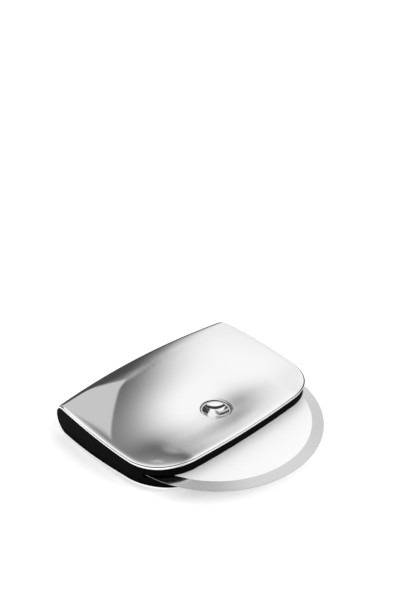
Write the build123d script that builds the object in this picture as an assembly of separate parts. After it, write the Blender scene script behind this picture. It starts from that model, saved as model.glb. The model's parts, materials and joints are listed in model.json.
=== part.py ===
from build123d import *
import os
from math import cos, exp, pi, sin, sqrt, tan

# Palm-held pizza cutter: one folded steel sheet round a slotted black liner,
# with a round blade that turns on a two-part axle through the middle.
# The origin lies on the table under the axle. +Z is up along the axle,
# -Y is the mouth that the blade looks out of and +Y is the fold.

# Blade
blade_radius = 50.0
blade_thickness = 1.5
bevel_width = 5.4
edge_land = 0.2

# Folded shell in plan, measured from the axle
sheet = 1.2
mouth_reach = 21.7
mouth_bow = 2.6
mouth_corner_radius = 22.7
side_gap = 3.7
side_bow = 3.1
fold_gap = 2.7
fold_bow = 4.5

# Folded shell, half heights above the blade's middle plane
mouth_half_height = 7.3
side_half_height = 5.45
waist_dip = 0.36
fold_half_height = 7.75
fold_crown = 1.05
dimple_half_height = 4.3

# Folded shell, how far its forms spread
arch_shoulder = 22.3
arch_fall = 28.3
arch_depth = 15.6
arch_power = 2.2
rise_start = -18.0
lead_length = 11.2
lead_slope = 0.132
lead_side_slope = 0.0
dimple_spread = 11.3
dimple_power = 1.3
dimple_widening = 1.55

# Axle
head_radius = 7.0
head_height = 1.8
head_edge_bevel = 0.3
bowl_radius = 5.95
bowl_depth = 1.2
barrel_radius = 3.0
stud_radius = 2.0
stud_end_gap = 0.5
clamp_gap = 0.1
thread_clearance = 0.05
hole_clearance = 0.1
seat_clearance = 0.3

# Bush and sliding washers
bush_wall = 1.5
washer_width = 3.4
washer_thickness = 0.5
running_clearance = 0.05

# Liner
liner_fit = 0.15
liner_recess = 0.5
blade_side_gap = 0.35
blade_rim_gap = 1.0
dimple_window_radius = 13.0

# One overrun for all cuts and for the blanks that are trimmed to the outline
overrun = 4.0

# How finely the formed surface is drawn
station_count = 31
top_point_count = 19
nose_point_count = 8

# Levels above the blade's middle plane
washer_under = blade_thickness / 2 + running_clearance
seat_under = washer_under + washer_thickness + running_clearance
seat_top = seat_under + sheet
head_top = seat_top + head_height

# Plan sizes that follow the blade
half_width = blade_radius + side_gap
fold_reach = blade_radius + fold_gap + sheet
seat_radius = head_radius + seat_clearance
cut_height = fold_half_height + fold_crown + overrun


def spaced(start, end, count):
    """Evenly spaced values from start to end."""
    return [start + (end - start) * i / (count - 1) for i in range(count)]


def ease(share):
    """0 to 1 with level ends."""
    share = min(max(share, 0), 1)
    return (1 - cos(pi * share)) / 2


def crown(x):
    """1 in the middle of the width, 0 at the widest point of the sides."""
    return 1 - (x / half_width) ** 2


def nose_height(x):
    """Half height that the fold would have without its lead."""
    return fold_half_height + fold_crown * crown(x)


def nose_slope(x):
    """Angle at which the upper leaf runs into the fold's round."""
    return lead_side_slope + (lead_slope - lead_side_slope) * crown(x)


def nose_radius(x):
    """Outside radius of the fold at one place across the width."""
    slope = nose_slope(x)
    return (nose_height(x) - tan(slope) * lead_length / 2) / cos(slope)


def nose_centre(x):
    """Where the middle of the fold's round lies, behind the axle."""
    return fold_reach + fold_bow * crown(x) - nose_radius(x)


def nose_start(x):
    """Where the upper leaf meets the fold's round."""
    return nose_centre(x) + nose_radius(x) * sin(nose_slope(x))


def mouth_line(x):
    """Where the mouth edge lies at one place across the width."""
    return mouth_bow * (x / (half_width - side_bow)) ** 2 - mouth_reach


def form_height(x, y):
    """Half height of the formed sheet's outside over a plan point."""
    waist = side_half_height - waist_dip * crown(x)
    fall = ease((abs(x) - half_width + arch_shoulder) / arch_fall)
    mouth = mouth_half_height - (mouth_half_height - side_half_height) * fall
    arch = exp(-((max(y - mouth_line(x), 0) / arch_depth) ** arch_power))
    rise = ease((y - rise_start) / (nose_start(x) - rise_start))
    level = waist + (mouth - waist) * arch + (nose_height(x) - waist) * rise
    lead = min(max((y - nose_start(x)) / lead_length + 1, 0), 1)
    return level - dimple(x, y) - tan(nose_slope(x)) * lead_length * lead**2 / 2


def dimple(x, y):
    """How far the sheet is pressed in round the axle."""
    waist = side_half_height - waist_dip
    arch = exp(-((mouth_reach / arch_depth) ** arch_power))
    depth = waist + (mouth_half_height - waist) * arch - dimple_half_height
    away = sqrt(x**2 + y**2)
    if away <= seat_radius:
        return depth
    stretch = sqrt((dimple_widening * x) ** 2 + y**2) / away
    return depth * exp(-(((away - seat_radius) / stretch / dimple_spread) ** dimple_power))


def skin_height(x, y, inset):
    """Half height of a skin that lies evenly inside the formed sheet."""
    step = sheet
    slope_x = (form_height(x + step, y) - form_height(x - step, y)) / (2 * step)
    slope_y = (form_height(x, y + step) - form_height(x, y - step)) / (2 * step)
    return form_height(x, y) - inset * sqrt(1 + slope_x**2 + slope_y**2)


def section_points(x, inset):
    """Points along the folded sheet: over the top, round the fold and back."""
    centre = nose_centre(x)
    mouth = -mouth_reach - overrun
    top = [(y, skin_height(x, y, inset)) for y in spaced(mouth, nose_start(x), top_point_count)[:-1]]
    radius = nose_radius(x) - inset
    turns = spaced(nose_slope(x), pi - nose_slope(x), nose_point_count)
    nose = [(centre + radius * sin(a), radius * cos(a)) for a in turns]
    bottom = [(y, -z) for y, z in reversed(top)]
    return [Vector(x, y, z) for y, z in top + nose + bottom]


def section(x, inset):
    """Closed outline of the folded form in one plane across the width."""
    points = section_points(x, inset)
    middle = section_points(0, 0)
    runs = [0]
    for start, end in zip(middle, middle[1:]):
        runs.append(runs[-1] + (end - start).length)
    spline = Edge.make_spline(points, parameters=[run / runs[-1] for run in runs])
    return Wire([spline, Edge.make_line(points[-1], points[0])])


def folded_form(inset):
    """Solid block with the outer shape of the folded sheet, less an inset."""
    side = half_width + overrun
    return Solid.make_loft([section(x, inset) for x in spaced(-side, side, station_count)])


def plan_block(inset, low):
    """Upright block with the handle's plan: bowed mouth, round mouth corners, bowed sides."""
    back = fold_reach + fold_bow + overrun
    front = inset - mouth_reach
    waist = (front + back) / 2
    side = half_width - inset
    corner = side - side_bow
    mouth = ThreePointArc((-corner, front + mouth_bow), (0, front), (corner, front + mouth_bow))
    right = ThreePointArc((corner, front + mouth_bow), (side, waist), (corner, back))
    rear = Line((corner, back), (-corner, back))
    left = ThreePointArc((-corner, back), (-side, waist), (-corner, front + mouth_bow))
    face = make_face([mouth, right, rear, left])
    face = fillet(face.vertices().sort_by(Axis.Y)[:2], mouth_corner_radius - inset)
    return Pos(0, 0, low) * extrude(face, cut_height - low)


def ring(outer, inner, low, high):
    """Plain ring about the axle between two levels."""
    tube = Cylinder(outer, high - low) - Cylinder(inner, high - low)
    return Pos(0, 0, (low + high) / 2) * tube


def rod(radius, low, high):
    """Plain rod on the axle between two levels."""
    return Pos(0, 0, (low + high) / 2) * Cylinder(radius, high - low)


def both_sides(solid):
    """A solid and its mirror image under the blade."""
    return [solid, mirror(solid, about=Plane.XY)]


def make_shell():
    """The folded sheet, with a coined flat and a hole for the axle each side."""
    outside = folded_form(0)
    hollow = folded_form(sheet)
    shell = outside - hollow
    boss = rod(seat_radius + sheet, seat_under, cut_height) & outside
    for part in both_sides(boss):
        shell += part
    for part in both_sides(rod(seat_radius, seat_top, cut_height)):
        shell -= part
    shell &= plan_block(0, -cut_height)
    return shell - rod(barrel_radius + hole_clearance, -cut_height, cut_height)


def make_liner_half():
    """Upper half of the liner, with its half of the slot for the blade."""
    liner = folded_form(sheet + liner_fit) & plan_block(liner_recess, 0)
    liner -= rod(blade_radius + blade_rim_gap, -overrun, blade_thickness / 2 + blade_side_gap)
    return liner - rod(dimple_window_radius, -overrun, cut_height)


def make_blade():
    """Round blade, flat to the bevel and ground from both sides."""
    flat = blade_thickness / 2
    rim = edge_land / 2
    bore = barrel_radius + running_clearance + bush_wall
    profile = Polyline(
        (bore, -flat),
        (blade_radius - bevel_width, -flat),
        (blade_radius, -rim),
        (blade_radius, rim),
        (blade_radius - bevel_width, flat),
        (bore, flat),
        close=True,
    )
    return revolve(Plane.XZ * make_face(profile), Axis.Z)


def make_bush():
    """Bush pressed into the blade, running on the barrel."""
    inner = barrel_radius + running_clearance
    return ring(inner + bush_wall, inner, -blade_thickness / 2, blade_thickness / 2)


def make_washer():
    """Sliding washer between the blade and the formed seat."""
    inner = barrel_radius + hole_clearance
    return ring(inner + washer_width, inner, washer_under, washer_under + washer_thickness)


def make_head():
    """Dished round head, seated on the coined flat."""
    head = rod(head_radius, seat_top, head_top)
    head = chamfer(head.edges().group_by(Axis.Z)[-1], head_edge_bevel)
    ball_radius = (bowl_radius**2 + bowl_depth**2) / (2 * bowl_depth)
    return head - Pos(0, 0, head_top + ball_radius - bowl_depth) * Sphere(ball_radius)


def make_axle_nut():
    """Lower head with the barrel that the bush runs on."""
    barrel = rod(barrel_radius, -seat_top, seat_top - clamp_gap)
    bore = rod(stud_radius + thread_clearance, -seat_top, seat_top)
    return mirror(make_head(), about=Plane.XY) + (barrel - bore)


def make_axle_screw():
    """Upper head with the stud that screws into the barrel."""
    return make_head() + rod(stud_radius, stud_end_gap - seat_top, seat_top)


upper_liner, lower_liner = both_sides(make_liner_half())
upper_washer, lower_washer = both_sides(make_washer())

nodes = {
    "handle_shell": make_shell(),
    "upper_liner": upper_liner,
    "lower_liner": lower_liner,
    "cutting_disc": make_blade(),
    "disc_bush": make_bush(),
    "upper_washer": upper_washer,
    "lower_washer": lower_washer,
    "axle_screw": make_axle_screw(),
    "axle_nut": make_axle_nut(),
}

# The cutter rests on the crest of the lower leaf
table_drop = nodes["handle_shell"].bounding_box().max.Z

os.makedirs("parts", exist_ok=True)
for name, shape in nodes.items():
    export_step(Pos(0, 0, table_drop) * shape, f"parts/{name}.step")
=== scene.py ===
import json
from math import asin, atan2, cos, degrees, exp, hypot, pi, radians, sin, sqrt, tan
import bpy
from mathutils import Matrix, Vector


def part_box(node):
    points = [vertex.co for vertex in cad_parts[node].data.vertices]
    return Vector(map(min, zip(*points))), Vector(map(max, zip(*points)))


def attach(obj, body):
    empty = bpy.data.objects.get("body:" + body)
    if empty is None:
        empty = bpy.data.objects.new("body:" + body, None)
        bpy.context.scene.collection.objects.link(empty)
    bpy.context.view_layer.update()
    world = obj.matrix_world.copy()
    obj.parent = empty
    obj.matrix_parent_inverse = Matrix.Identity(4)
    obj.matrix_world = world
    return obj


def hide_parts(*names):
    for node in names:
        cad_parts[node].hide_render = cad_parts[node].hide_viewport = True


# Palm-held pizza cutter: a mirror-polished sheet folded round a black liner, with a round
# blade that turns on a dished axle. The sheet and the two axle heads are modelled here in
# a finer form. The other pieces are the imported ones, with their finishes.
# The axle stands on the origin. -Y is the mouth that the blade looks out of, +Y the fold.

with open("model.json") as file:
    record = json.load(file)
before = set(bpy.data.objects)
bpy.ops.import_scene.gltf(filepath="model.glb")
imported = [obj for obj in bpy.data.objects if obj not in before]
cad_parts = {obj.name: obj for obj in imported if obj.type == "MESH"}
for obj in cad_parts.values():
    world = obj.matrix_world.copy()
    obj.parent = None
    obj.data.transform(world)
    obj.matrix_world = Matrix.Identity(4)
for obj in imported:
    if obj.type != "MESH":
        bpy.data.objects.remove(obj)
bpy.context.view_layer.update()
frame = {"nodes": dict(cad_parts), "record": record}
nodes = frame["nodes"]

# The script's own unit is the metre, and sizes are written in millimetres
mm = 0.001

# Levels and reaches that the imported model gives
shell_low, shell_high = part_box("handle_shell")
screw_low, screw_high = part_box("axle_screw")
disc_low, disc_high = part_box("cutting_disc")
table_drop = (disc_low.z + disc_high.z) / 2
half_width = shell_high.x
mouth_reach = -shell_low.y
shell_back = shell_high.y
blade_radius = disc_high.x
head_radius = screw_high.x
head_top = screw_high.z - table_drop

# Folded shell in plan
sheet = 1.2 * mm
mouth_bow = 2.6 * mm
mouth_corner_radius = 22.7 * mm
side_bow = 3.1 * mm
fold_reach = 53.9 * mm
fold_bow = 4.5 * mm
plan_overrun = 4.0 * mm

# Folded shell, half heights above the blade's middle plane
mouth_half_height = 7.3 * mm
side_half_height = 5.45 * mm
waist_dip = 0.36 * mm
fold_half_height = 7.75 * mm
fold_crown = 1.05 * mm
dimple_half_height = 4.3 * mm

# Folded shell, how far its forms spread
arch_shoulder = 22.3 * mm
arch_fall = 28.3 * mm
arch_depth = 15.6 * mm
arch_power = 2.2
rise_start = -18.0 * mm
lead_length = 11.2 * mm
lead_slope = 0.132
dimple_spread = 11.3 * mm
dimple_power = 1.3
dimple_widening = 1.55

# Polished edge of the sheet
edge_drop = 0.32 * mm
edge_width = 0.7 * mm
rim_round = 0.28 * mm
rim_segments = 3

# Cup that the axle's head sits in. Its wall lies just behind the sheet's round hole
seat_clearance = 0.3 * mm
cup_lap = 0.05 * mm
seat_radius = head_radius + seat_clearance
seat_top = 2.55 * mm
seat_under = seat_top - sheet
cup_radius = seat_radius + cup_lap
cup_top = 3.4 * mm
hole_radius = 3.1 * mm

# Axle
head_round = 0.4 * mm
lip_width = 0.35 * mm
bowl_depth = 2.0 * mm
barrel_radius = 3.0 * mm
stud_radius = 2.0 * mm
stud_reach = 2.0 * mm
clamp_gap = 0.1 * mm
thread_clearance = 0.05 * mm
bore_floor = 0.3 * mm

# Blade
bevel_width = 5.4 * mm
land_width = 0.04 * mm

# How finely the sheet is drawn, and how its grid opens into the round hole
cells_across = 150
cells_along = 200
nose_share = 0.16
crowding = 0.55
hole_columns = 7
hole_rows = 9
hole_blend = 2.5

# How finely the turned pieces are drawn
turned_steps = 128
bowl_steps = 24
round_steps = 8
start_radius = 1 * mm
tip_radius = 0.001 * mm

# Angles from which an edge is rounded, and from which it is shaded sharp
edge_angle = radians(50)
smooth_angle = radians(35)

# Polished steel. A scale is in waves a metre, and a pair is a range
polish_tone = 0.93
polish_roughness = (0.02, 0.05)
polish_scale = 300
polish_detail = 3

# Satin steel of the blade, its ground bevel and its thin land, with painted shade in the darker
# tones of the bevel and the land
flat_tone = (0.87, 0.91)
flat_metal = 0.25
flat_roughness = (0.4, 0.5)
# The bevel's darker tone is painted shade. Its fine ground lines are its own grain
bevel_shaded_tone = (0.58, 0.8)
bevel_metal = 1.0
bevel_roughness = 0.17
# Painted shade: the thin edge land is darkened to draw the dark line along the blade's edge
land_painted_shade = 0.3
blade_gloss = 0.2
bevel_line_scale = 9000
blade_grain_scale = (4000, 4000, 400)

# Black moulding of the liner
liner_tone = 0.0015
liner_gloss = 0.02
liner_roughness = (0.5, 0.7)
liner_scale = 2500
liner_grain_depth = 0.02 * mm

# White plastic of the bush and the washers, a little warm
plastic_tone = (0.76, 0.84)
plastic_blue = (0.73, 0.81)
plastic_roughness = 0.4
plastic_scale = 800

# How much finer detail the grain of all but the polished steel has
grain_detail = 2

# Camera, with angles in radians and lengths in metres
view_azimuth = -0.7653
view_elevation = 0.5435
view_distance = 0.44626
view_offset_right = 0.006939
view_offset_up = -0.054198
focal_pixels = 962.05
picture_height = 601
sensor_width = 36

# Key lamp, with angles in degrees
key_azimuth = -70
key_elevation = 35
key_strength = 1.3
key_spread = 40

# Floor and surroundings
floor_radius = 6
floor_steps = 96
floor_tone = 0.85
floor_glow = 0.22
world_glow = 1

# Azimuth and elevation of the middle of each wall that cards hang on, in degrees
main_wall = (50, 40)
left_wall = (142, 8)
low_wall = (46, 5)


def circle_through(a, b, c):
    """Centre and radius of the circle through three plan points."""
    d = 2 * (a[0] * (b[1] - c[1]) + b[0] * (c[1] - a[1]) + c[0] * (a[1] - b[1]))
    aa, bb, cc = (p[0] ** 2 + p[1] ** 2 for p in (a, b, c))
    x = (aa * (b[1] - c[1]) + bb * (c[1] - a[1]) + cc * (a[1] - b[1])) / d
    y = (aa * (c[0] - b[0]) + bb * (a[0] - c[0]) + cc * (b[0] - a[0])) / d
    return Vector((x, y)), hypot(a[0] - x, a[1] - y)


def plan_arcs():
    """Mouth arc, side arc and the round that joins them at the right mouth corner."""
    back = shell_back + plan_overrun
    front = -mouth_reach
    corner = half_width - side_bow
    left_end, right_end = (-corner, front + mouth_bow), (corner, front + mouth_bow)
    mouth = circle_through(left_end, (0, front), right_end)
    side = circle_through(right_end, (half_width, (front + back) / 2), (corner, back))
    inner_mouth = mouth[1] - mouth_corner_radius
    inner_side = side[1] - mouth_corner_radius
    apart = side[0] - mouth[0]
    along = (inner_mouth**2 - inner_side**2 + apart.length**2) / (2 * apart.length)
    off = sqrt(inner_mouth**2 - along**2)
    step = apart.normalized()
    centre = mouth[0] + step * along + Vector((step.y, -step.x)) * off
    if centre.x < 0 or centre.y > 0:
        centre = mouth[0] + step * along - Vector((step.y, -step.x)) * off
    return mouth, side, centre


(mouth_centre, mouth_radius), (side_centre, side_radius), corner_centre = plan_arcs()
mouth_tangent = mouth_centre + (corner_centre - mouth_centre).normalized() * mouth_radius
side_tangent = side_centre + (corner_centre - side_centre).normalized() * side_radius
mouth_turn = atan2(mouth_tangent.y - corner_centre.y, mouth_tangent.x - corner_centre.x)
side_turn = atan2(side_tangent.y - corner_centre.y, side_tangent.x - corner_centre.x)
corner_turn = (mouth_turn + side_turn) / 2


def side_x(y):
    """Half width of the plan at one depth."""
    return side_centre.x + sqrt(side_radius**2 - (y - side_centre.y) ** 2)


def corner_point(angle):
    """Point on the round of the right mouth corner."""
    return corner_centre + Vector((cos(angle), sin(angle))) * mouth_corner_radius


def front_point(share):
    """Right half of the front edge, from the middle to the middle of the corner."""
    sweep = asin(mouth_tangent.x / mouth_radius)
    straight = sweep * mouth_radius
    whole = straight + (corner_turn - mouth_turn) * mouth_corner_radius
    run = abs(share) * whole
    if run < straight:
        angle = run / mouth_radius
        return Vector((mouth_radius * sin(angle), mouth_centre.y - mouth_radius * cos(angle)))
    return corner_point(mouth_turn + (run - straight) / mouth_corner_radius)


def side_point(share, back):
    """Right side edge, from the fold to the middle of the corner."""
    straight = back - side_tangent.y
    whole = straight + (side_turn - corner_turn) * mouth_corner_radius
    run = share * whole
    if run < straight:
        return Vector((side_x(back - run), back - run))
    return corner_point(side_turn - (run - straight) / mouth_corner_radius)


def ease(share):
    """0 to 1 with level ends."""
    share = min(max(share, 0), 1)
    return (1 - cos(pi * share)) / 2


def crown(x):
    """1 in the middle of the width, 0 at the widest point of the sides."""
    return 1 - (x / half_width) ** 2


def mouth_line(x):
    """Where the mouth edge lies at one place across the width."""
    return mouth_bow * (x / (half_width - side_bow)) ** 2 - mouth_reach


def nose(x):
    """Full height, start slope, radius, centre and start of the fold's round."""
    height = fold_half_height + fold_crown * crown(x)
    slope = lead_slope * crown(x)
    radius = (height - tan(slope) * lead_length / 2) / cos(slope)
    centre = fold_reach + fold_bow * crown(x) - radius
    return height, slope, radius, centre, centre + radius * sin(slope)


def nose_line(x):
    """Where the upper leaf meets the fold's round."""
    return nose(x)[4]


def rise_share(x, y):
    """0 at the mouth and 1 where the leaf meets the fold's round."""
    return ease((y - rise_start) / (nose_line(x) - rise_start))


def dimple(x, y):
    """How far the sheet is pressed in round the axle."""
    waist = side_half_height - waist_dip
    arch = exp(-((mouth_reach / arch_depth) ** arch_power))
    depth = waist + (mouth_half_height - waist) * arch - dimple_half_height
    away = hypot(x, y)
    if away <= seat_radius:
        return depth
    stretch = hypot(dimple_widening * x, y) / away
    return depth * exp(-(((away - seat_radius) / stretch / dimple_spread) ** dimple_power))


def form_height(x, y):
    """Half height of the formed sheet's outside over a plan point."""
    height, slope, _, _, start = nose(x)
    waist = side_half_height - waist_dip * crown(x)
    fall = ease((abs(x) - half_width + arch_shoulder) / arch_fall)
    mouth = mouth_half_height - (mouth_half_height - side_half_height) * fall
    arch = exp(-((max(y - mouth_line(x), 0) / arch_depth) ** arch_power))
    level = waist + (mouth - waist) * arch + (height - waist) * rise_share(x, y)
    lead = min(max((y - start) / lead_length + 1, 0), 1)
    return level - dimple(x, y) - tan(slope) * lead_length * lead**2 / 2


def edge_distance(x, y):
    """How far a plan point lies inside the mouth and side edges."""
    place = Vector((abs(x), y)) - corner_centre
    to_mouth = mouth_tangent - corner_centre
    to_side = side_tangent - corner_centre
    if place.x * to_mouth.y < place.y * to_mouth.x and place.x * to_side.y > place.y * to_side.x:
        return mouth_corner_radius - place.length
    from_mouth = mouth_radius - hypot(abs(x) - mouth_centre.x, y - mouth_centre.y)
    from_side = side_radius - hypot(abs(x) - side_centre.x, y - side_centre.y)
    return min(from_mouth, from_side)


def edge_round(x, y):
    """How far the polished edge falls away."""
    return edge_drop * exp(-max(edge_distance(x, y), 0) / edge_width)


def round_edge(place):
    """Point on the sheet's outside, moved in by the polished edge."""
    x, y, z = place
    level = z - table_drop
    radius, centre, start = nose(x)[2:]
    if y < start:
        return Vector((x, y, z - edge_round(x, y) * (1 if level > 0 else -1)))
    share = 1 - edge_drop * exp((abs(x) - side_x(y)) / edge_width) / radius
    return Vector((x, centre + (y - centre) * share, table_drop + level * share))


def crowded(share):
    """Same ends and middle, with closer steps near the ends."""
    return (1 - crowding) * share + crowding * sin(share * pi / 2)


def top_point(across, forward):
    """Point on the upper leaf: across from -1 to 1, forward from the fold to the mouth."""
    share = crowded(across)
    back = nose_line(half_width)
    side = side_point(forward, back)
    front = front_point(share)
    corner = front_point(1)
    x = forward * front.x * (1 if share > 0 else -1) + share * (side.x - forward * corner.x)
    fold_line = nose_line(side_x(back) * share)
    y = (1 - forward) * (fold_line - back) + forward * (front.y - corner.y) + side.y
    return Vector((x, y, form_height(x, y)))


def nose_point(across, turn):
    """Point on the fold: turn 0 meets the upper leaf and 1 the lower one."""
    share = crowded(across)
    slope, radius, centre = nose(share * side_x(nose_line(half_width)))[1:4]
    angle = slope + (pi - 2 * slope) * turn
    y = centre + radius * sin(angle)
    return Vector((share * side_x(y), y, radius * cos(angle)))


def sheet_point(across, along):
    """Point on the whole sheet: along runs from the upper mouth edge to the lower one."""
    if abs(along) < nose_share:
        point = nose_point(across, (along / nose_share + 1) / 2)
    else:
        forward = crowded((abs(along) - nose_share) / (1 - nose_share))
        point = top_point(across, forward)
        point.z *= -1 if along > 0 else 1
    point.z += table_drop
    return point


def deselect():
    """Nothing stays selected, so that the next step acts on its own piece alone."""
    for piece in bpy.context.selected_objects:
        piece.select_set(False)


def apply_modifier(piece, kind, **settings):
    """Add a modifier with its settings and apply it."""
    modifier = piece.modifiers.new(kind.lower(), kind)
    for name, value in settings.items():
        setattr(modifier, name, value)
    bpy.ops.object.modifier_apply(modifier=modifier.name)


def join_pieces(piece, others):
    """One mesh from a piece and others."""
    deselect()
    for part in [piece] + others:
        part.select_set(True)
    bpy.context.view_layer.objects.active = piece
    bpy.ops.object.join()


def smooth(piece):
    """Smooth shading that keeps the real edges sharp."""
    deselect()
    piece.select_set(True)
    bpy.context.view_layer.objects.active = piece
    bpy.ops.object.shade_smooth_by_angle(angle=smooth_angle)


def turned(name, profile):
    """Solid turned about the axle from a profile of radius and height."""
    deselect()
    last, level = start_radius, 0.0
    bpy.ops.mesh.primitive_circle_add(vertices=turned_steps, radius=last)
    piece = bpy.context.object
    piece.name = name
    piece.data.name = name
    bpy.ops.object.mode_set(mode="EDIT")
    bpy.ops.mesh.select_all(action="SELECT")
    for index, (radius, height) in enumerate(profile):
        if index:
            bpy.ops.mesh.extrude_edges_move()
        scale = max(radius, tip_radius) / last
        bpy.ops.transform.resize(value=(scale, scale, 1), center_override=(0, 0, level))
        bpy.ops.transform.translate(value=(0, 0, height - level))
        last, level = max(radius, tip_radius), height
    bpy.ops.mesh.select_all(action="SELECT")
    bpy.ops.mesh.remove_doubles(threshold=2 * tip_radius)
    bpy.ops.mesh.normals_make_consistent(inside=False)
    bpy.ops.object.mode_set(mode="OBJECT")
    piece.data.transform(Matrix.Translation((0, 0, table_drop)))
    return piece


def arc(centre, radius, start, end, steps):
    """Profile points along an arc, with angles in degrees."""
    turns = [radians(start + (end - start) * i / steps) for i in range(steps + 1)]
    return [(centre[0] + radius * cos(a), centre[1] + radius * sin(a)) for a in turns]


def axle_row():
    """Row of the grid that lies nearest the axle on the upper leaf."""
    rows = range(cells_along // 2)
    return min(rows, key=lambda row: abs(sheet_point(0, 2 * row / cells_along - 1).y))


def hole_share(vertex, middle_row):
    """How far out from the axle a point of the grid lies: 1 on the edge of the hole."""
    column = round((vertex.co.x + 1) / 2 * cells_across)
    row = round((vertex.co.y + 1) / 2 * cells_along)
    row = min(row, cells_along - row)
    return max(abs(column - cells_across // 2) / hole_columns, abs(row - middle_row) / hole_rows)


def open_hole(place, share):
    """Point moved outwards, so that the square ring at share 1 becomes the round hole."""
    fade = (share - 1) / (hole_blend - 1)
    round_reach = seat_radius * share / hypot(place.x, place.y)
    scale = (1 - fade) * round_reach + fade
    x, y = place.x * scale, place.y * scale
    side = 1 if place.z > table_drop else -1
    return Vector((x, y, table_drop + side * form_height(x, y)))


def fold_grid(piece):
    """Lay a flat grid over the folded form, and open it where the two cups come."""
    bpy.ops.object.mode_set(mode="EDIT")
    bpy.ops.mesh.select_mode(type="VERT")
    bpy.ops.mesh.select_all(action="DESELECT")
    bpy.ops.object.mode_set(mode="OBJECT")
    middle_row = axle_row()
    for vertex in piece.data.vertices:
        share = hole_share(vertex, middle_row)
        vertex.select = share < 1
        vertex.co = sheet_point(vertex.co.x, vertex.co.y)
        if 1 <= share < hole_blend:
            vertex.co = open_hole(vertex.co, share)
    bpy.ops.object.mode_set(mode="EDIT")
    bpy.ops.mesh.delete(type="VERT")
    bpy.ops.object.mode_set(mode="OBJECT")


def thicken_sheet(piece):
    """Give the folded grid its thickness and its polished edges."""
    outer_count = len(piece.data.vertices)
    apply_modifier(piece, "SOLIDIFY", thickness=sheet, offset=-1, use_even_offset=True)
    for vertex in piece.data.vertices[:outer_count]:
        vertex.co = round_edge(vertex.co)
    rim = {"width": rim_round, "segments": rim_segments}
    apply_modifier(piece, "BEVEL", limit_method="ANGLE", angle_limit=edge_angle, **rim)


def make_cup(side):
    """Cup under the head, up into the sheet round it: wall, rim, inside, floor and hole."""
    return turned("cup", [
        (hole_radius, seat_under * side),
        (seat_radius + sheet, seat_under * side),
        (seat_radius + sheet, cup_top * side),
        (cup_radius, cup_top * side),
        (cup_radius, seat_top * side),
        (hole_radius, seat_top * side),
        (hole_radius, seat_under * side),
    ])


def make_folded_sheet():
    """One sheet folded over at the back, with a cup pressed in for the axle on each face."""
    deselect()
    bpy.ops.mesh.primitive_grid_add(
        x_subdivisions=cells_across, y_subdivisions=cells_along, size=2
    )
    piece = bpy.context.object
    piece.name = "folded_sheet"
    piece.data.name = "folded_sheet"
    fold_grid(piece)
    thicken_sheet(piece)
    join_pieces(piece, [make_cup(1), make_cup(-1)])
    smooth(piece)
    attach(piece, "handle")
    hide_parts("handle_shell")
    piece.data.materials.clear()
    piece.data.materials.append(finishes["mirror_steel"])


def head_profile():
    """From the middle of the bowl over the lip to the underside."""
    lip = head_radius - head_round - lip_width
    ball = (lip**2 + bowl_depth**2) / (2 * bowl_depth)
    half_turn = degrees(asin(lip / ball))
    bowl = arc((0, head_top - bowl_depth + ball), ball, -90, -90 + half_turn, bowl_steps)
    edge_centre = (head_radius - head_round, head_top - head_round)
    edge = arc(edge_centre, head_round, 90, 0, round_steps)
    return bowl + edge + [(head_radius, seat_top)]


def make_axle_screw():
    """Dished round head with its stud."""
    stud = [(stud_radius, seat_top), (stud_radius, -stud_reach), (0, -stud_reach)]
    finish_head(turned("axle_screw_turned", head_profile() + stud), "axle_screw")


def make_axle_nut():
    """The same head underneath, with the barrel that the stud screws into."""
    top = seat_top - clamp_gap
    bore = stud_radius + thread_clearance
    under = [(radius, -height) for radius, height in head_profile()]
    barrel = [(barrel_radius, -seat_top), (barrel_radius, top), (bore, top)]
    floor = [(bore, bore_floor - seat_top), (0, bore_floor - seat_top)]
    finish_head(turned("axle_nut_turned", under + barrel + floor), "axle_nut")


def finish_head(piece, node):
    """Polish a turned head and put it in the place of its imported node."""
    smooth(piece)
    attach(piece, "handle")
    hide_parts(node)
    piece.data.materials.append(finishes["mirror_steel"])


def grey(tone):
    """Colour without a tint."""
    return (tone, tone, tone, 1)


def new_material(name):
    """New material with its node tree and its main shader."""
    material = bpy.data.materials.new(name)
    material.use_nodes = True
    return material, material.node_tree, material.node_tree.nodes["Principled BSDF"]


def feed(tree, slot, term):
    """Set a socket to a number, or link another socket to it."""
    if isinstance(term, (int, float)):
        slot.default_value = term
    else:
        tree.links.new(term, slot)


def scaled_place(tree, scale):
    """Object coordinates, stretched by a scale for each axis."""
    coordinates = tree.nodes.new("ShaderNodeTexCoord")
    product = tree.nodes.new("ShaderNodeVectorMath")
    product.operation = "MULTIPLY"
    product.inputs[1].default_value = scale
    tree.links.new(coordinates.outputs["Object"], product.inputs[0])
    return product.outputs[0]


def add_noise(tree, place, detail):
    """Noise from 0 to 1 over a place in space."""
    noise = tree.nodes.new("ShaderNodeTexNoise")
    noise.inputs["Scale"].default_value = 1
    noise.inputs["Detail"].default_value = detail
    tree.links.new(place, noise.inputs["Vector"])
    return noise.outputs[0]


def even_noise(tree, scale, detail):
    """Noise that is as fine along every axis."""
    return add_noise(tree, scaled_place(tree, (scale, scale, scale)), detail)


def spread(tree, value, limits):
    """A value from 0 to 1 taken to a range."""
    ramp = tree.nodes.new("ShaderNodeMapRange")
    ramp.inputs["To Min"].default_value = limits[0]
    ramp.inputs["To Max"].default_value = limits[1]
    tree.links.new(value, ramp.inputs["Value"])
    return ramp.outputs[0]


def calculate(tree, operation, *terms):
    """One step of arithmetic on sockets and numbers."""
    step = tree.nodes.new("ShaderNodeMath")
    step.operation = operation
    for slot, term in zip(step.inputs, terms):
        feed(tree, slot, term)
    return step.outputs[0]


def mix_values(tree, share, first, second):
    """First value where the share is 0, second where it is 1."""
    mix = tree.nodes.new("ShaderNodeMix")
    tree.links.new(share, mix.inputs[0])
    feed(tree, mix.inputs[2], first)
    feed(tree, mix.inputs[3], second)
    return mix.outputs[0]


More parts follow.
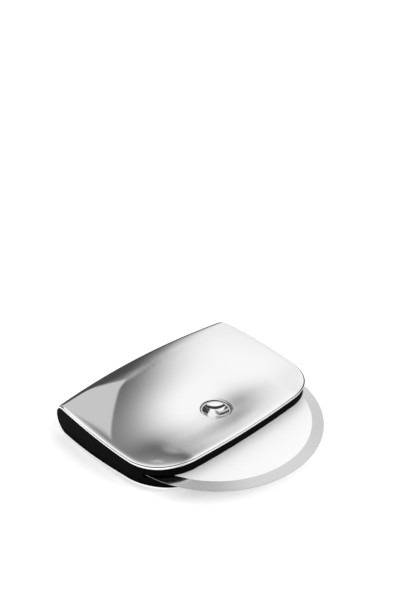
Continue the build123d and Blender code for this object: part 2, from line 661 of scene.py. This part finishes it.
def combine_color(tree, red, green, blue):
    """Colour from three sockets."""
    color = tree.nodes.new("ShaderNodeCombineColor")
    for slot, value in zip(color.inputs, (red, green, blue)):
        tree.links.new(value, slot)
    return color.outputs[0]


def add_grain(tree, shader, value, depth):
    """Fine relief on the surface."""
    bump = tree.nodes.new("ShaderNodeBump")
    bump.inputs["Strength"].default_value = 1
    bump.inputs["Distance"].default_value = depth
    tree.links.new(value, bump.inputs["Height"])
    tree.links.new(bump.outputs[0], shader.inputs["Normal"])


def polished_steel():
    """Mirror polish with a faint unevenness in its sheen."""
    material, tree, shader = new_material("polished steel")
    shader.inputs["Base Color"].default_value = grey(polish_tone)
    shader.inputs["Metallic"].default_value = 1
    cloud = even_noise(tree, polish_scale, polish_detail)
    tree.links.new(spread(tree, cloud, polish_roughness), shader.inputs["Roughness"])
    return material


def axle_distance(tree):
    """How far a point of the blade lies from the axle."""
    length = tree.nodes.new("ShaderNodeVectorMath")
    length.operation = "LENGTH"
    tree.links.new(scaled_place(tree, (1, 1, 0)), length.inputs[0])
    return length.outputs["Value"]


def ground_lines(tree, radius):
    """Noise that changes with the radius alone, as fine lines along the edge."""
    place = tree.nodes.new("ShaderNodeCombineXYZ")
    tree.links.new(calculate(tree, "MULTIPLY", radius, bevel_line_scale), place.inputs[0])
    return add_noise(tree, place.outputs[0], grain_detail)


def satin_steel():
    """Satin blade with a bevel darkened by painted shade, ground in fine lines along the edge, and
    a thin edge land darkened by painted shade.
    """
    material, tree, shader = new_material("satin steel")
    radius = axle_distance(tree)
    bevel = calculate(tree, "GREATER_THAN", radius, blade_radius - bevel_width)
    land = calculate(tree, "GREATER_THAN", radius, blade_radius - land_width)
    grain = add_noise(tree, scaled_place(tree, blade_grain_scale), grain_detail)
    lines = ground_lines(tree, radius)
    # Painted shade: the bevel's tone is darker than the flat's, and the edge land is darker still
    tone = mix_values(tree, bevel, spread(tree, grain, flat_tone), spread(tree, lines, bevel_shaded_tone))
    tone = mix_values(tree, land, tone, land_painted_shade)
    metal = mix_values(tree, bevel, flat_metal, bevel_metal)
    roughness = mix_values(tree, bevel, spread(tree, grain, flat_roughness), bevel_roughness)
    tree.links.new(combine_color(tree, tone, tone, tone), shader.inputs["Base Color"])
    tree.links.new(metal, shader.inputs["Metallic"])
    tree.links.new(roughness, shader.inputs["Roughness"])
    shader.inputs["Specular IOR Level"].default_value = blade_gloss
    return material


def black_moulding():
    """Matte black plastic with the fine grain of its mould."""
    material, tree, shader = new_material("black moulding")
    shader.inputs["Base Color"].default_value = grey(liner_tone)
    shader.inputs["Specular IOR Level"].default_value = liner_gloss
    grain = even_noise(tree, liner_scale, grain_detail)
    tree.links.new(spread(tree, grain, liner_roughness), shader.inputs["Roughness"])
    add_grain(tree, shader, grain, liner_grain_depth)
    return material


def white_plastic():
    """Natural bearing plastic, slightly cloudy."""
    material, tree, shader = new_material("white plastic")
    cloud = even_noise(tree, plastic_scale, grain_detail)
    tone = spread(tree, cloud, plastic_tone)
    blue = spread(tree, cloud, plastic_blue)
    tree.links.new(combine_color(tree, tone, tone, blue), shader.inputs["Base Color"])
    shader.inputs["Roughness"].default_value = plastic_roughness
    return material


def add_camera():
    """Camera that sees the cutter from the front and above, as in the photo."""
    right = Vector((cos(view_azimuth), sin(view_azimuth), 0))
    back = Vector((
        sin(view_azimuth) * cos(view_elevation),
        -cos(view_azimuth) * cos(view_elevation),
        sin(view_elevation),
    ))
    up = back.cross(right)
    place = back * view_distance - right * view_offset_right - up * view_offset_up
    place.z += table_drop
    turn = (radians(90) - view_elevation, 0, view_azimuth)
    bpy.ops.object.camera_add(location=place, rotation=turn)
    camera = bpy.context.object
    camera.data.sensor_width = sensor_width
    camera.data.lens = sensor_width * focal_pixels / picture_height
    bpy.context.scene.camera = camera


def edge_ramp(tree, value, edge, soft, rising):
    """Soft edge of a card."""
    ramp = tree.nodes.new("ShaderNodeMapRange")
    ramp.interpolation_type = "SMOOTHSTEP"
    ramp.inputs["From Min"].default_value = edge - soft / 2
    ramp.inputs["From Max"].default_value = edge + soft / 2
    ramp.inputs["To Min"].default_value = 0 if rising else 1
    ramp.inputs["To Max"].default_value = 1 if rising else 0
    tree.links.new(value, ramp.inputs["Value"])
    return ramp.outputs[0]


def card_cover(tree, sides, side_softs, levels, level_softs):
    """1 on a card and 0 past its soft edges."""
    coordinates = tree.nodes.new("ShaderNodeTexCoord")
    split = tree.nodes.new("ShaderNodeSeparateXYZ")
    tree.links.new(coordinates.outputs["UV"], split.inputs[0])
    left = edge_ramp(tree, split.outputs[0], sides[0], side_softs[0], True)
    right = edge_ramp(tree, split.outputs[0], sides[1], side_softs[1], False)
    low = edge_ramp(tree, split.outputs[1], levels[0], level_softs[0], True)
    high = edge_ramp(tree, split.outputs[1], levels[1], level_softs[1], False)
    width = calculate(tree, "MULTIPLY", left, right)
    return calculate(tree, "MULTIPLY", width, calculate(tree, "MULTIPLY", low, high))


def card_material(name, sides, side_softs, levels, level_softs, shade):
    """Glowing card that fades out at its edges."""
    material, tree, _ = new_material(name)
    tree.nodes.clear()
    clear = tree.nodes.new("ShaderNodeBsdfTransparent")
    glow = tree.nodes.new("ShaderNodeEmission")
    glow.inputs["Color"].default_value = grey(shade)
    mix = tree.nodes.new("ShaderNodeMixShader")
    tree.links.new(card_cover(tree, sides, side_softs, levels, level_softs), mix.inputs[0])
    tree.links.new(clear.outputs[0], mix.inputs[1])
    tree.links.new(glow.outputs[0], mix.inputs[2])
    output = tree.nodes.new("ShaderNodeOutputMaterial")
    tree.links.new(mix.outputs[0], output.inputs[0])
    return material


def add_card(name, wall, distance, sides, side_softs, levels, level_softs, shade, slant=0):
    """Card facing the object. Edges are tangents of angles about the middle of its wall."""
    azimuth, elevation = radians(wall[0]), radians(wall[1])
    out = Vector((cos(elevation) * cos(azimuth), cos(elevation) * sin(azimuth), sin(elevation)))
    across = Vector((-sin(azimuth), cos(azimuth), 0))
    up = out.cross(across)
    deselect()
    bpy.ops.mesh.primitive_plane_add(size=1)
    card = bpy.context.object
    card.name = name
    uv = card.data.uv_layers[0].data
    for loop in card.data.loops:
        corner = card.data.vertices[loop.vertex_index]
        place = uv[loop.index].uv
        u = sides[1] + side_softs[1] if place.x > 0.5 else sides[0] - side_softs[0]
        v = levels[1] + level_softs[1] if place.y > 0.5 else levels[0] - level_softs[0]
        corner.co = (out + across * u + up * (v + slant * u)) * distance
        uv[loop.index].uv = (u, v)
    card.data.materials.append(card_material(name, sides, side_softs, levels, level_softs, shade))
    card.visible_camera = False
    card.visible_diffuse = False
    card.visible_shadow = False


def hang_cards():
    """Cards that the polished steel mirrors. The camera doesn't see them."""
    add_card(
        "grey_card", main_wall, 2.0, shade=0.16, slant=-1.49,
        sides=(-0.065, 1.77), side_softs=(0.2, 0.1),
        levels=(-0.155, 0.33), level_softs=(0.375, 0.6),
    )
    add_card(
        "band_card", main_wall, 3.9, shade=0.36, slant=-0.83,
        sides=(-0.83, 0.52), side_softs=(0.31, 0.38),
        levels=(-0.28, -0.34), level_softs=(0.6, 0.49),
    )
    add_card(
        "light_card", main_wall, 0.2, shade=0.6, slant=-0.5,
        sides=(0.23, 1.0), side_softs=(0.014, 0.1),
        levels=(0.06, 0.33), level_softs=(0.035, 0.03),
    )
    add_card(
        "lift_card", main_wall, 0.38, shade=0.45,
        sides=(0.1, 0.14), side_softs=(0.08, 0.08),
        levels=(-0.12, -0.03), level_softs=(0.1, 0.08),
    )
    add_card(
        "left_card", left_wall, 4.2, shade=0.03,
        sides=(-0.25, 0.25), side_softs=(0.1, 0.1),
        levels=(-0.2, 0.2), level_softs=(0.1, 0.1),
    )
    add_card(
        "fold_card", main_wall, 0.4, shade=0.07,
        sides=(0.13, 0.9), side_softs=(0.2, 0.1),
        levels=(-0.9, -0.14), level_softs=(0.1, 0.07),
    )
    add_card(
        "side_card", main_wall, 4.2, shade=0.05,
        sides=(-1.2, -0.45), side_softs=(0.2, 0.1),
        levels=(-0.6, 0.8), level_softs=(0.2, 0.2),
    )
    add_card(
        "dark_card", main_wall, 3.8, shade=0.1, slant=0.82,
        sides=(0.015, 1.74), side_softs=(0.35, 0.1),
        levels=(-5.67, -0.236), level_softs=(0.3, 0.2),
    )
    add_card(
        "horizon_card", low_wall, 4.2, shade=0.02,
        sides=(-1.2, 1.2), side_softs=(0.2, 0.2),
        levels=(-0.1, 0.13), level_softs=(0.04, 0.04),
    )
    add_card(
        "ceiling_card", main_wall, 4.2, shade=0.04,
        sides=(-1.2, 1.2), side_softs=(0.3, 0.3),
        levels=(0.5, 0.95), level_softs=(0.1, 0.1),
    )


def direct_or_mirrored(tree):
    """1 for camera, glossy and transmission rays."""
    path = tree.nodes.new("ShaderNodeLightPath")
    seen = [path.outputs[f"Is {kind} Ray"] for kind in ("Camera", "Glossy", "Transmission")]
    return calculate(tree, "MAXIMUM", calculate(tree, "MAXIMUM", seen[0], seen[1]), seen[2])


def floor_material():
    """Pale matte floor that looks a little lighter than its light alone makes it."""
    material, tree, shader = new_material("pale floor")
    shader.inputs["Base Color"].default_value = grey(floor_tone)
    shader.inputs["Roughness"].default_value = 1
    shader.inputs["Specular IOR Level"].default_value = 0
    glow = tree.nodes.new("ShaderNodeEmission")
    glow.inputs["Color"].default_value = grey(1)
    strength = calculate(tree, "MULTIPLY", direct_or_mirrored(tree), floor_glow)
    tree.links.new(strength, glow.inputs["Strength"])
    add = tree.nodes.new("ShaderNodeAddShader")
    tree.links.new(shader.outputs[0], add.inputs[0])
    tree.links.new(glow.outputs[0], add.inputs[1])
    tree.links.new(add.outputs[0], tree.nodes["Material Output"].inputs["Surface"])
    return material


def add_floor():
    """Wide round floor under the cutter."""
    deselect()
    bpy.ops.mesh.primitive_circle_add(vertices=floor_steps, radius=floor_radius, fill_type="NGON")
    floor = bpy.context.object
    floor.name = "floor"
    floor.data.materials.append(floor_material())


def add_key():
    """Broad soft lamp from the right, so that the shadow falls to the left."""
    azimuth, elevation = radians(key_azimuth), radians(key_elevation)
    bpy.ops.object.light_add(type="SUN", rotation=(0, pi / 2 - elevation, azimuth))
    key = bpy.context.object
    key.data.energy = key_strength
    key.data.angle = radians(key_spread)
    key.visible_glossy = False


def add_world():
    """Even white surroundings."""
    world = bpy.data.worlds.new("studio")
    bpy.context.scene.world = world
    world.use_nodes = True
    world.node_tree.nodes["Background"].inputs["Color"].default_value = grey(1)
    world.node_tree.nodes["Background"].inputs["Strength"].default_value = world_glow


finishes = {
    "mirror_steel": polished_steel(),
    "blade_steel": satin_steel(),
    "black_liner": black_moulding(),
    "bearing_plastic": white_plastic(),
}
for part in frame["record"]["subparts"]:
    nodes[part["node"]].data.materials.clear()
    nodes[part["node"]].data.materials.append(finishes[part["material_slot"]])

make_folded_sheet()
make_axle_screw()
make_axle_nut()

add_camera()
hang_cards()
add_floor()
add_key()
add_world()
bpy.context.scene.view_settings.view_transform = "Standard"
